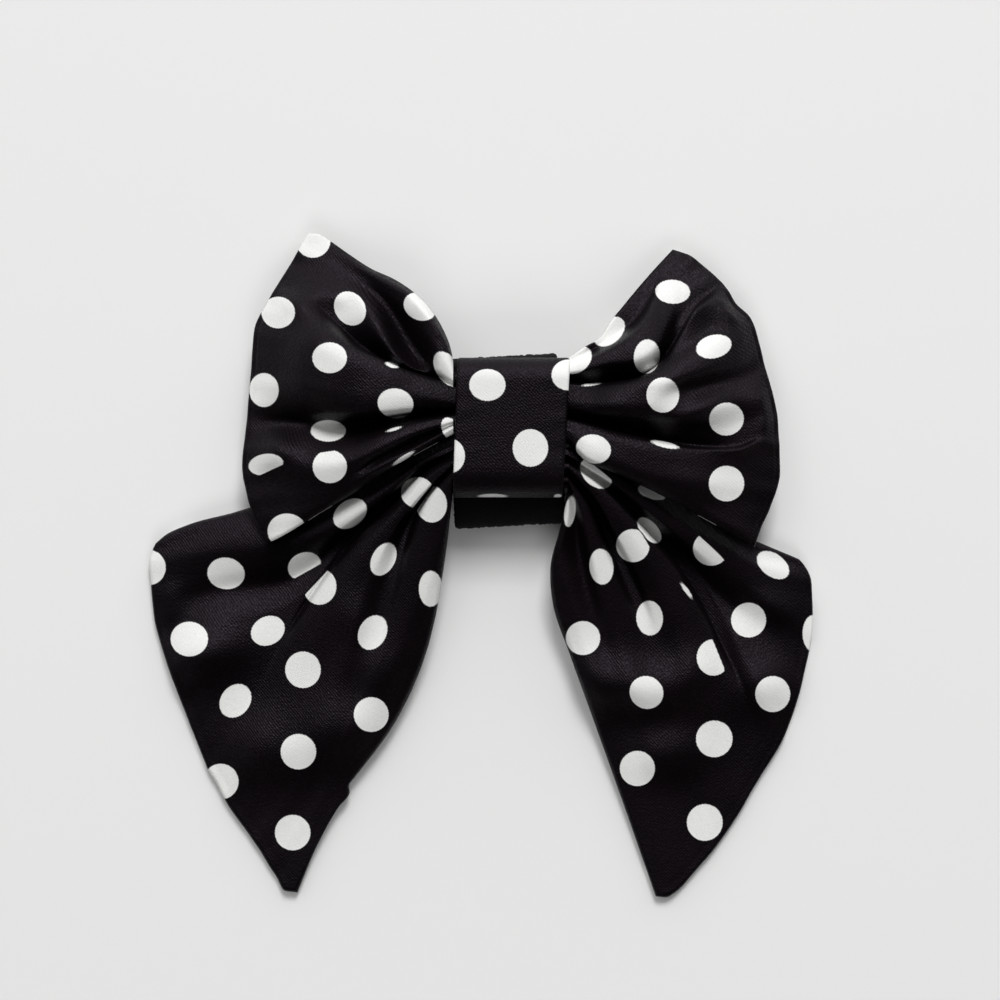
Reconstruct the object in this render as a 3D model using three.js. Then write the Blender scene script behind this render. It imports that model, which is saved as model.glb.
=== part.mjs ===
// A slide-on bow tie for a pet's collar, lying face up on its back, in millimetres, +Z up.
// A wide bow and a pair of pointed tails are gathered at the middle and held by a knot band,
// and a hook-and-loop strap behind the knot wraps round the collar.
// The origin is on the flat back of the strap, straight below the middle of the knot.
// +X is the right of the bow as it is seen, and +Y is its top.
import * as THREE from "three";

// Strap: one tape wound once round the collar, with its end lapped over its start.
const STRAP_WIDTH = 25;
const STRAP_SHIFT_X = -0.5;
const STRAP_TAPE = 1.2;
const STRAP_TOP = 17.6;
const STRAP_BOTTOM = 23.2;
const STRAP_LAP = 17;
const SLOT_DEPTH = 5.2; // clear depth for the collar
const GAP = 0.3; // between pieces that touch, and between lapped layers of tape

// Knot band: a cloth ring round the gathers, as wide as the strap that it covers.
const KNOT_WIDTH = STRAP_WIDTH + 1;
const KNOT_HEIGHT = 32.6;
const KNOT_WALL = 1.3;
const KNOT_CORNER = 5;
const GATHER_DEPTH = 9.7; // room for the gathered cloth inside the band, from back to front

// Bow: a flattened cloth tube, folded at both rims and open along its top and bottom edges.
const LOOP_REACH = 64;
const LOOP_RISE = 46;
const LOOP_LIFT = 26;
const LOOP_WALL = 1.6;
const LOOP_RIM_AIR = 0.8; // between the walls at the rim
const LOOP_WAIST_AIR = 0.5; // between the walls inside the knot
const LOOP_RIM_NOSE = 1.8; // how far the rounded rim stands past the last section

// Tails: two layers of cloth sewn together round the edge, as one thick sheet.
const TAIL_REACH = 85.5;
const TAIL_DROP = 111;
const TAIL_LIFT = 19.6;
const TAIL_WALL = 2.2;

// Heights of the stack behind and inside the knot.
const STRAP_INNER_BACK = STRAP_TAPE + GAP;
const SLOT_FLOOR = STRAP_INNER_BACK + STRAP_TAPE;
const SLOT_CEILING = SLOT_FLOOR + SLOT_DEPTH;
const STRAP_FRONT = SLOT_CEILING + STRAP_TAPE;
const KNOT_BACK = STRAP_FRONT + GAP;
const GATHER_BACK = KNOT_BACK + KNOT_WALL;
const GATHER_FRONT = GATHER_BACK + GATHER_DEPTH;
const KNOT_FRONT = GATHER_FRONT + KNOT_WALL;

// The gathers leave the knot here.
const GATHER_X = KNOT_WIDTH / 2 + GAP;
const GATHER_HALF = KNOT_HEIGHT / 2 - KNOT_WALL - 3 * GAP;

// Places along a fold line, from the knot to the rim, where the tables give its height.
const LOOP_STATIONS = [0, 0.33, 0.72, 1];
const TAIL_STATIONS = [0, 0.3, 0.65, 1];

// Fold tables. Each row is a line from the knot to the rim, from the top edge down.
// down: where it leaves the knot, as a share of the gather's side. along: where it meets the rim, as a
// share of the rim. bow: how far it bends towards the top edge, as a share of its length.
// knot, near, far, rim: its height at the stations, as shares of the lift.
const LEFT_LOOP_FOLDS = [
  { name: "top edge", down: 0, along: 0, bow: 0.128, knot: 0.68, near: 0.5, far: 0.34, rim: 0.165 },
  { name: "top roll", down: 0.07, along: 0.03, bow: 0.122, knot: 0.73, near: 0.66, far: 0.46, rim: 0.165 },
  { name: "top valley", down: 0.25, along: 0.06, bow: 0.0, knot: 0.66, near: 0.5, far: 0.47, rim: 0.17 },
  { name: "upper ridge", down: 0.3, along: 0.09, bow: -0.06, knot: 0.74, near: 0.72, far: 0.6, rim: 0.185 },
  { name: "upper valley", down: 0.34, along: 0.16, bow: -0.07, knot: 0.68, near: 0.58, far: 0.5, rim: 0.21 },
  { name: "main ridge", down: 0.4, along: 0.29, bow: -0.01, knot: 0.765, near: 0.96, far: 0.78, rim: 0.27 },
  { name: "main face", down: 0.56, along: 0.46, bow: 0.0, knot: 0.755, near: 0.86, far: 0.66, rim: 0.28 },
  { name: "middle valley", down: 0.73, along: 0.62, bow: 0.0, knot: 0.66, near: 0.6, far: 0.44, rim: 0.28 },
  { name: "lower ridge", down: 0.79, along: 0.69, bow: -0.07, knot: 0.755, near: 0.84, far: 0.66, rim: 0.31 },
  { name: "lower valley", down: 0.9, along: 0.8, bow: -0.05, knot: 0.68, near: 0.68, far: 0.54, rim: 0.34 },
  { name: "bottom roll", down: 0.96, along: 0.92, bow: -0.01, knot: 0.74, near: 0.74, far: 0.64, rim: 0.42 },
  { name: "bottom edge", down: 1, along: 1, bow: 0.0, knot: 0.7, near: 0.68, far: 0.6, rim: 0.46 },
];
const RIGHT_LOOP_FOLDS = [
  { name: "top edge", down: 0, along: 0, bow: -0.02, knot: 0.68, near: 0.48, far: 0.34, rim: 0.165 },
  { name: "top valley", down: 0.1, along: 0.03, bow: -0.065, knot: 0.67, near: 0.47, far: 0.38, rim: 0.165 },
  { name: "upper ridge", down: 0.16, along: 0.06, bow: -0.08, knot: 0.76, near: 0.78, far: 0.52, rim: 0.17 },
  { name: "upper valley", down: 0.29, along: 0.14, bow: -0.16, knot: 0.67, near: 0.6, far: 0.46, rim: 0.185 },
  { name: "main ridge", down: 0.37, along: 0.25, bow: -0.14, knot: 0.765, near: 0.94, far: 0.7, rim: 0.24 },
  { name: "rim dent", down: 0.52, along: 0.42, bow: -0.04, knot: 0.76, near: 0.84, far: 0.5, rim: 0.26 },
  { name: "rim ridge", down: 0.6, along: 0.52, bow: 0.0, knot: 0.74, near: 0.78, far: 0.62, rim: 0.28 },
  { name: "middle valley", down: 0.69, along: 0.65, bow: -0.02, knot: 0.66, near: 0.6, far: 0.46, rim: 0.3 },
  { name: "lower ridge", down: 0.77, along: 0.7, bow: -0.055, knot: 0.76, near: 0.86, far: 0.72, rim: 0.32 },
  { name: "lower face", down: 0.87, along: 0.83, bow: 0.0, knot: 0.76, near: 0.8, far: 0.66, rim: 0.36 },
  { name: "bottom roll", down: 0.94, along: 0.93, bow: 0.0, knot: 0.74, near: 0.74, far: 0.62, rim: 0.42 },
  { name: "bottom edge", down: 1, along: 1, bow: 0.0, knot: 0.7, near: 0.68, far: 0.6, rim: 0.46 },
];
const LEFT_TAIL_FOLDS = [
  { name: "top edge", down: 0, along: 0, bow: 0.0, knot: 0.68, near: 0.36, far: 0.22, rim: 0.18 },
  { name: "tucked edge", down: 0.11, along: 0.03, bow: 0.0, knot: 0.69, near: 0.38, far: 0.24, rim: 0.18 },
  { name: "top pleat", down: 0.22, along: 0.06, bow: -0.06, knot: 0.86, near: 0.44, far: 0.3, rim: 0.18 },
  { name: "upper valley", down: 0.34, along: 0.17, bow: -0.05, knot: 0.84, near: 0.28, far: 0.17, rim: 0.14 },
  { name: "corner bulge", down: 0.43, along: 0.36, bow: 0.02, knot: 0.86, near: 0.27, far: 0.28, rim: 0.14 },
  { name: "main crease", down: 0.5, along: 0.6, bow: 0.07, knot: 0.84, near: 0.26, far: 0.15, rim: 0.125 },
  { name: "main pleat", down: 0.57, along: 0.7, bow: 0.06, knot: 0.98, near: 0.58, far: 0.3, rim: 0.125 },
  { name: "main face", down: 0.67, along: 0.8, bow: 0.04, knot: 0.95, near: 0.52, far: 0.28, rim: 0.125 },
  { name: "inner valley", down: 0.77, along: 0.88, bow: 0.02, knot: 0.82, near: 0.28, far: 0.21, rim: 0.12 },
  { name: "inner pleat", down: 0.88, along: 0.94, bow: -0.04, knot: 0.95, near: 0.5, far: 0.26, rim: 0.12 },
  { name: "inner edge", down: 1, along: 1, bow: -0.084, knot: 0.84, near: 0.42, far: 0.2, rim: 0.12 },
];
const RIGHT_TAIL_FOLDS = [
  { name: "top edge", down: 0, along: 0, bow: 0.035, knot: 0.68, near: 0.36, far: 0.24, rim: 0.18 },
  { name: "tucked edge", down: 0.13, along: 0.025, bow: 0.03, knot: 0.69, near: 0.38, far: 0.26, rim: 0.18 },
  { name: "top pleat", down: 0.25, along: 0.05, bow: 0.01, knot: 0.9, near: 0.54, far: 0.32, rim: 0.18 },
  { name: "top face", down: 0.31, along: 0.18, bow: 0.0, knot: 0.96, near: 0.5, far: 0.32, rim: 0.17 },
  { name: "upper valley", down: 0.4, along: 0.36, bow: 0.02, knot: 0.84, near: 0.26, far: 0.17, rim: 0.15 },
  { name: "main pleat", down: 0.47, along: 0.62, bow: 0.07, knot: 0.98, near: 0.58, far: 0.32, rim: 0.13 },
  { name: "main face", down: 0.6, along: 0.76, bow: 0.06, knot: 0.94, near: 0.52, far: 0.28, rim: 0.125 },
  { name: "inner valley", down: 0.7, along: 0.86, bow: 0.06, knot: 0.82, near: 0.28, far: 0.19, rim: 0.12 },
  { name: "inner pleat", down: 0.82, along: 0.94, bow: 0.01, knot: 0.95, near: 0.52, far: 0.28, rim: 0.12 },
  { name: "inner roll", down: 0.92, along: 0.98, bow: -0.066, knot: 0.92, near: 0.46, far: 0.24, rim: 0.12 },
  { name: "inner edge", down: 1, along: 1, bow: -0.094, knot: 0.82, near: 0.38, far: 0.2, rim: 0.12 },
];

// Rims, from the top corner down. across and up are shares of the reach and of the rise or drop.
const LEFT_LOOP_RIM = [
  { across: -0.728, up: 1.03 },
  { across: -0.79, up: 0.935 },
  { across: -0.885, up: 0.69 },
  { across: -0.947, up: 0.52 },
  { across: -0.965, up: 0.24 },
  { across: -0.983, up: -0.04 },
  { across: -0.994, up: -0.185 },
  { across: -0.955, up: -0.415 },
  { across: -0.886, up: -0.583 },
];
const RIGHT_LOOP_RIM = [
  { across: 0.603, up: 0.928 },
  { across: 0.669, up: 0.893 },
  { across: 0.805, up: 0.733 },
  { across: 0.875, up: 0.602 },
  { across: 0.942, up: 0.357 },
  { across: 0.984, up: 0.104 },
  { across: 1.0, up: -0.15 },
  { across: 0.986, up: -0.34 },
  { across: 0.94, up: -0.457 },
  { across: 0.9, up: -0.598 },
];
const LEFT_TAIL_RIM = [
  { across: -0.985, up: -0.246 },
  { across: -1.0, up: -0.33 },
  { across: -0.975, up: -0.479 },
  { across: -0.902, up: -0.635 },
  { across: -0.807, up: -0.772 },
  { across: -0.716, up: -0.881 },
  { across: -0.654, up: -0.957 },
  { across: -0.609, up: -0.993 },
];
const RIGHT_TAIL_RIM = [
  { across: 0.83, up: -0.305 },
  { across: 0.843, up: -0.405 },
  { across: 0.807, up: -0.553 },
  { across: 0.725, up: -0.71 },
  { across: 0.621, up: -0.823 },
  { across: 0.503, up: -0.952 },
  { across: 0.453, up: -0.991 },
  { across: 0.428, up: -1.0 },
];

const LOOP_SIDE = { top: 1, left: -0.09, right: -0.27 }; // ends of the gather's sides, in GATHER_HALF
const TAIL_SIDE = { left: -0.03, right: -0.18, bottom: -1 };

// Slopes of a monotone cubic through evenly spaced values: level at each ridge and valley.
function slopesOf(values) {
  const steps = values.slice(1).map((v, i) => v - values[i]);
  return values.map((_, i) => {
    if (i === 0) return steps[0];
    if (i === values.length - 1) return steps[i - 1];
    const product = steps[i - 1] * steps[i];
    return product > 0 ? (2 * product) / (steps[i - 1] + steps[i]) : 0;
  });
}

function cubic(values, slopes, place) {
  const i = Math.min(Math.floor(place), values.length - 2);
  const s = place - i;
  const s2 = s * s;
  const s3 = s2 * s;
  return (
    values[i] * (2 * s3 - 3 * s2 + 1) +
    slopes[i] * (s3 - 2 * s2 + s) +
    values[i + 1] * (3 * s2 - 2 * s3) +
    slopes[i + 1] * (s3 - s2)
  );
}

const mix = (a, b, s) => a + (b - a) * s;

// Where t lies among the stations, counted in stations.
function stationPlace(stations, t) {
  let i = 0;
  while (i < stations.length - 2 && t > stations[i + 1]) i += 1;
  return i + (t - stations[i]) / (stations[i + 1] - stations[i]);
}

// One side of the bow or of the tails: the surface that its fold table and rim describe.
// line runs over the rows of the table, and t from the knot, 0, to the rim, 1.
class Lobe {
  constructor({ side, folds, rim, reach, rise, lift, stations, knotTop, knotBottom, bendPeak }) {
    Object.assign(this, { side, lift, stations, knotTop, knotBottom });
    this.bendPower = Math.log(0.5) / Math.log(bendPeak);
    this.rim = new THREE.CatmullRomCurve3(
      rim.map(({ across, up }) => new THREE.Vector3(across * reach, up * rise, 0)),
      false,
      "centripetal",
    );
    this.columns = {};
    for (const key of ["down", "along", "bow", "knot", "near", "far", "rim"]) {
      const values = folds.map((fold) => fold[key]);
      this.columns[key] = { values, slopes: slopesOf(values) };
    }
    this.lastLine = folds.length - 1;
  }
  read(key, line) {
    const { values, slopes } = this.columns[key];
    return cubic(values, slopes, line);
  }
  start(line) {
    const y = mix(this.knotTop, this.knotBottom, this.read("down", line));
    return new THREE.Vector2(this.side * GATHER_X, y);
  }
  plan(line, t) {
    const start = this.start(line);
    const end = this.rim.getPointAt(THREE.MathUtils.clamp(this.read("along", line), 0, 1));
    const chord = new THREE.Vector2(end.x - start.x, end.y - start.y);
    const bend = Math.pow(t, this.bendPower);
    const ease = THREE.MathUtils.smoothstep(t, 0, 0.15);
    const offset = this.read("bow", line) * 4 * bend * (1 - bend) * ease;
    return new THREE.Vector2(
      start.x + chord.x * t - this.side * chord.y * offset,
      start.y + chord.y * t + this.side * chord.x * offset,
    );
  }
  height(line, t) {
    const lifts = ["knot", "near", "far", "rim"].map((key) => this.read(key, line));
    return this.lift * cubic(lifts, slopesOf(lifts), stationPlace(this.stations, t));
  }
  // Unit vector in plan, out of the lobe at its rim.
  outward(line) {
    const inside = this.plan(line, 0.95);
    return this.plan(line, 1).sub(inside).normalize();
  }
}

// Joins grids of points into one closed geometry. faces is a list of index triples.
function geometryOf(points, faces) {
  const geometry = new THREE.BufferGeometry();
  geometry.setAttribute("position", new THREE.Float32BufferAttribute(points.flat(), 3));
  geometry.setIndex(faces.flat());
  geometry.computeVertexNormals();
  return geometry;
}

// A wall between two grids of the same size, upper and lower, both [row][column].
// A ring's rows close on themselves, and a strip's ends get a wall too.
function wallBetween(upper, lower, ring) {
  const rows = upper.length;
  const columns = upper[0].length;
  const points = [...upper.flat(), ...lower.flat()];
  const faces = [];
  const at = (layer, r, c) => layer * rows * columns + (r % rows) * columns + c;
  const quad = (a, b, c, d) => faces.push([a, b, c], [a, c, d]);
  for (let r = 0; r < (ring ? rows : rows - 1); r += 1) {
    for (let c = 0; c < columns - 1; c += 1) {
      quad(at(0, r, c), at(0, r, c + 1), at(0, r + 1, c + 1), at(0, r + 1, c));
      quad(at(1, r, c), at(1, r + 1, c), at(1, r + 1, c + 1), at(1, r, c + 1));
    }
    quad(at(0, r, 0), at(0, r + 1, 0), at(1, r + 1, 0), at(1, r, 0));
    const last = columns - 1;
    quad(at(0, r, last), at(1, r, last), at(1, r + 1, last), at(0, r + 1, last));
  }
  if (!ring) {
    const end = rows - 1;
    for (let c = 0; c < columns - 1; c += 1) {
      quad(at(0, 0, c), at(1, 0, c), at(1, 0, c + 1), at(0, 0, c + 1));
      quad(at(0, end, c), at(0, end, c + 1), at(1, end, c + 1), at(1, end, c));
    }
  }
  return geometryOf(points, faces);
}

// Values of t from the knot to the rim, closer together near the knot.
const spread = (steps, ease) =>
  Array.from({ length: steps + 1 }, (_, i) => Math.pow(i / steps, ease));
const linesOf = (lobe, perFold) =>
  Array.from({ length: lobe.lastLine * perFold + 1 }, (_, i) => i / perFold);

function clothMaterial(roughness) {
  return new THREE.MeshStandardMaterial({ color: 0x0d0b10, roughness, metalness: 0 });
}

// Smaller of two heights, with the corner between them rounded over about `round` mm.
function softMin(a, b, round) {
  const h = THREE.MathUtils.clamp(0.5 + (b - a) / (2 * round), 0, 1);
  return mix(b, a, h) - round * h * (1 - h);
}

function bowBody(left, right) {
  const perFold = 2;
  const stepsOut = 12;
  const waistSteps = 4;
  const lines = linesOf(left, perFold);
  const outwardSteps = spread(stepsOut, 1.15);

  // Back wall's own height: down to the table at the top of the bow, and over the tails below.
  const waistBack = GATHER_BACK + GAP;
  const backStations = {
    top: [waistBack, 6.5, 2.4, 0.2],
    bottom: [waistBack + 4, 12.8, 10.2, 6.5],
  };
  const backHeight = (lobe, line, t) => {
    const low = THREE.MathUtils.smoothstep(line / lobe.lastLine, 0.35, 0.85);
    const heights = backStations.top.map((top, i) => mix(top, backStations.bottom[i], low));
    const place = stationPlace(LOOP_STATIONS, t);
    const corner = THREE.MathUtils.smoothstep(2 - line, 0, 2) * (1 - t) ** 2;
    const own = cubic(heights, slopesOf(heights), place) + KNOT_CORNER * 0.5 * corner;
    const air = mix(LOOP_WAIST_AIR, LOOP_RIM_AIR, t);
    const highest = lobe.height(line, t) - 2 * LOOP_WALL - air;
    return t === 1 ? highest : softMin(own, highest, mix(0.05, 1.5, Math.sin(Math.PI * t)));
  };

  // Sections of one lobe, from the knot out: front row, or back row.
  const section = (lobe, t, front) =>
    lines.map((line) => {
      const { x, y } = lobe.plan(line, t);
      return [x, y, front ? lobe.height(line, t) : backHeight(lobe, line, t)];
    });
  const noseOf = (lobe, angle, nose, inset) =>
    lines.map((line) => {
      const { x, y } = lobe.plan(line, 1);
      const out = lobe.outward(line).multiplyScalar(nose * Math.cos(angle));
      const front = lobe.height(line, 1) - inset;
      const back = backHeight(lobe, line, 1) + inset;
      return [x + out.x, y + out.y, (front + back) / 2 + ((front - back) / 2) * Math.sin(angle)];
    });
  const waist = (share, front) => {
    const a = section(left, 0, front);
    const b = section(right, 0, front);
    return lines.map((_, i) => [0, 1, 2].map((k) => mix(a[i][k], b[i][k], share)));
  };
  const shifted = (row, dz) => row.map(([x, y, z]) => [x, y, z + dz]);

  const outer = [];
  const inner = [];
  const add = (row, inward) => {
    outer.push(row);
    inner.push(shifted(row, inward * LOOP_WALL));
  };
  const addNose = (lobe, from, to) => {
    for (const share of [0.25, 0.5, 0.75]) {
      const angle = mix(from, to, share);
      outer.push(noseOf(lobe, angle, LOOP_RIM_NOSE, 0));
      inner.push(noseOf(lobe, angle, LOOP_RIM_NOSE / 4, LOOP_WALL));
    }
  };
  const quarter = Math.PI / 2;
  // Round the tube: front from left rim to right rim, then back again.
  [...outwardSteps].reverse().forEach((t) => add(section(left, t, true), -1));
  for (let i = 1; i < waistSteps; i += 1) add(waist(i / waistSteps, true), -1);
  outwardSteps.forEach((t) => add(section(right, t, true), -1));
  addNose(right, quarter, -quarter);
  [...outwardSteps].reverse().forEach((t) => add(section(right, t, false), 1));
  for (let i = waistSteps - 1; i > 0; i -= 1) add(waist(i / waistSteps, false), 1);
  outwardSteps.forEach((t) => add(section(left, t, false), 1));
  addNose(left, -quarter, quarter);

  const mesh = new THREE.Mesh(wallBetween(outer, inner, true), clothMaterial(0.45));
  mesh.name = "bow_body";
  return mesh;
}

function tails(left, right) {
  const perFold = 2;
  const waistSteps = 4;
  const lines = linesOf(left, perFold);
  const steps = spread(12, 1.2);
  const section = (lobe, t) =>
    lines.map((line) => {
      const { x, y } = lobe.plan(line, t);
      return [x, y, lobe.height(line, t)];
    });
  const upper = [...steps].reverse().map((t) => section(left, t));
  const a = section(left, 0);
  const b = section(right, 0);
  for (let i = 1; i < waistSteps; i += 1)
    upper.push(lines.map((_, j) => [0, 1, 2].map((k) => mix(a[j][k], b[j][k], i / waistSteps))));
  upper.push(...steps.map((t) => section(right, t)));
  const lower = upper.map((row) => row.map(([x, y, z]) => [x, y, Math.max(z - TAIL_WALL, 0)]));
  const mesh = new THREE.Mesh(wallBetween(upper, lower, false), clothMaterial(0.45));
  mesh.name = "tails";
  return mesh;
}

// A band's profile is drawn with the height above the table along X and the bow's Y along Y,
// and extruded along the bow's X.
function extrudedAcross(shape, width, centreX, name, material) {
  const geometry = new THREE.ExtrudeGeometry(shape, {
    depth: width,
    bevelEnabled: false,
    curveSegments: 6,
  });
  geometry.rotateY(-Math.PI / 2);
  geometry.translate(centreX + width / 2, 0, 0);
  const mesh = new THREE.Mesh(geometry, material);
  mesh.name = name;
  return mesh;
}

function roundedPath(path, low, high, bottom, top, corner) {
  path.moveTo(low, bottom + corner);
  path.absarc(low + corner, bottom + corner, corner, Math.PI, 1.5 * Math.PI, false);
  path.absarc(high - corner, bottom + corner, corner, -0.5 * Math.PI, 0, false);
  path.absarc(high - corner, top - corner, corner, 0, 0.5 * Math.PI, false);
  path.absarc(low + corner, top - corner, corner, 0.5 * Math.PI, Math.PI, false);
  path.closePath();
  return path;
}

function knotBand() {
  const half = KNOT_HEIGHT / 2;
  const wall = KNOT_WALL;
  const shape = roundedPath(new THREE.Shape(), KNOT_BACK, KNOT_FRONT, -half, half, KNOT_CORNER);
  const hole = roundedPath(
    new THREE.Path(),
    KNOT_BACK + wall,
    KNOT_FRONT - wall,
    wall - half,
    half - wall,
    KNOT_CORNER - wall,
  );
  shape.holes.push(hole);
  return extrudedAcross(shape, KNOT_WIDTH, 0, "knot_band", clothMaterial(0.5));
}

function collarStrap() {
  const tape = STRAP_TAPE;
  const topRound = STRAP_FRONT / 2;
  const bottomRound = (STRAP_FRONT - STRAP_INNER_BACK) / 2;
  const topCentre = STRAP_TOP - topRound;
  const bottomCentre = bottomRound - STRAP_BOTTOM;
  const bottomLevel = STRAP_INNER_BACK + bottomRound;
  const lapEnd = topCentre - STRAP_LAP;
  const innerEnd = topCentre - GAP;
  const quarter = Math.PI / 2;
  const shape = new THREE.Shape();
  // Outside of the tape, from its lapped end round the top, down the front and round the bottom.
  shape.moveTo(0, lapEnd);
  shape.lineTo(0, topCentre);
  shape.absarc(topRound, topCentre, topRound, Math.PI, 0, true);
  shape.absarc(bottomLevel, bottomCentre, bottomRound, 0, -Math.PI, true);
  shape.lineTo(STRAP_INNER_BACK, innerEnd);
  shape.lineTo(SLOT_FLOOR, innerEnd);
  // Inside of the tape, all the way back.
  shape.absarc(bottomLevel, bottomCentre, bottomRound - tape, -Math.PI, 0, false);
  shape.absarc(topRound, topCentre, topRound - tape, 0, 2 * quarter, false);
  shape.lineTo(tape, lapEnd);
  shape.closePath();
  const material = new THREE.MeshStandardMaterial({ color: 0x050505, roughness: 0.95 });
  return extrudedAcross(shape, STRAP_WIDTH, STRAP_SHIFT_X, "collar_strap", material);
}

const loopLobe = (side, folds, rim, knotBottom) =>
  new Lobe({
    side,
    folds,
    rim,
    reach: LOOP_REACH - LOOP_RIM_NOSE,
    rise: LOOP_RISE - LOOP_RIM_NOSE,
    lift: LOOP_LIFT,
    stations: LOOP_STATIONS,
    knotTop: LOOP_SIDE.top * GATHER_HALF,
    knotBottom: knotBottom * GATHER_HALF,
    bendPeak: 0.38,
  });
const tailLobe = (side, folds, rim, knotTop, bendPeak) =>
  new Lobe({
    side,
    folds,
    rim,
    reach: TAIL_REACH,
    rise: TAIL_DROP,
    lift: TAIL_LIFT,
    stations: TAIL_STATIONS,
    knotTop: knotTop * GATHER_HALF,
    knotBottom: TAIL_SIDE.bottom * GATHER_HALF,
    bendPeak,
  });

const bow = new THREE.Group();
bow.add(
  bowBody(
    loopLobe(-1, LEFT_LOOP_FOLDS, LEFT_LOOP_RIM, LOOP_SIDE.left),
    loopLobe(1, RIGHT_LOOP_FOLDS, RIGHT_LOOP_RIM, LOOP_SIDE.right),
  ),
  tails(
    tailLobe(-1, LEFT_TAIL_FOLDS, LEFT_TAIL_RIM, TAIL_SIDE.left, 0.42),
    tailLobe(1, RIGHT_TAIL_FOLDS, RIGHT_TAIL_RIM, TAIL_SIDE.right, 0.34),
  ),
  knotBand(),
  collarStrap(),
);

export default bow;
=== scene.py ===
"""A slide-on pet bow tie in black polka-dot sateen, lying face up, seen from straight above."""

import math
from collections import namedtuple

import bpy
import numpy as np
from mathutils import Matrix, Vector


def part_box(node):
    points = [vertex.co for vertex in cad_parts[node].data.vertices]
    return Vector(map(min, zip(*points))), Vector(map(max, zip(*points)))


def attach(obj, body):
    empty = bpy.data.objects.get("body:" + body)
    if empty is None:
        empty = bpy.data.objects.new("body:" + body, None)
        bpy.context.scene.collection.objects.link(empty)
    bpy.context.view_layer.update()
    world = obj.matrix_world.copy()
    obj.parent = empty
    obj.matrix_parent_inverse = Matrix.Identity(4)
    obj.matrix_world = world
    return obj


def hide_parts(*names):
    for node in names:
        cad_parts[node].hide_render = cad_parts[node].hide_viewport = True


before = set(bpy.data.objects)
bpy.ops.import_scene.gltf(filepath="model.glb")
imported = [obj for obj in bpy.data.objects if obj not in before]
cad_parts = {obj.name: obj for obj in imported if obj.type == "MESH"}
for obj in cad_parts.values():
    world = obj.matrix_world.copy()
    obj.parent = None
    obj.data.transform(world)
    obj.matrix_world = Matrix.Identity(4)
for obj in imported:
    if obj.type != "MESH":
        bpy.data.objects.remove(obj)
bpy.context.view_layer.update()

MM = 0.001

# The camera looks straight down. Lengths here are in millimetres.
CAMERA_HEIGHT = 600.0
CAMERA_X = -2.44
CAMERA_Y = -16.74
FRAME = 1000.0  # the picture is this many units wide and high, counted from its top left corner
FOCAL = 2515.0  # in the same units
SENSOR = 36.0

LOOP_WALL = 0.65
TAIL_WALL = 2.1
RIM_NOSE = 0.9  # how far the fold at a loop's rim reaches past its front
ROUNDNESS = 0.92  # of a rounded edge, where 1 is a full quarter turn
GATHER_X = 13.3  # the gathers leave the knot here, on both sides
WAIST_PLACES = np.linspace(0.25, 12.4, 6)  # the rows of cloth inside the knot, from its middle out
LOBE_LENGTH = 60.0  # from the knot to the rim of a loop or tail, about

DOT_RADIUS = 4.25
DOT_PITCH = 19.3
DOT_HEIGHT = 15.0  # the height at which the picture's units are turned into lengths for the dots
NO_DOT = 30.0  # a distance that is far outside any dot
WEAVE_SCALE = (1, 1, 0.6)  # the weave is read from the place in the room, with less of its height

# Each fold is a line from the knot to the rim, the first one along the top.
# knot: where it leaves the knot, as (down the picture, height).
# via: points on its way, as (across the picture, down the picture, height).
# rim: where it meets the rim, as (share of the rim from its top corner, height).
# Heights are in millimetres, and a sharp fold has a crease along it.
Fold = namedtuple("Fold", "knot via rim sharp", defaults=(0,))

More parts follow.
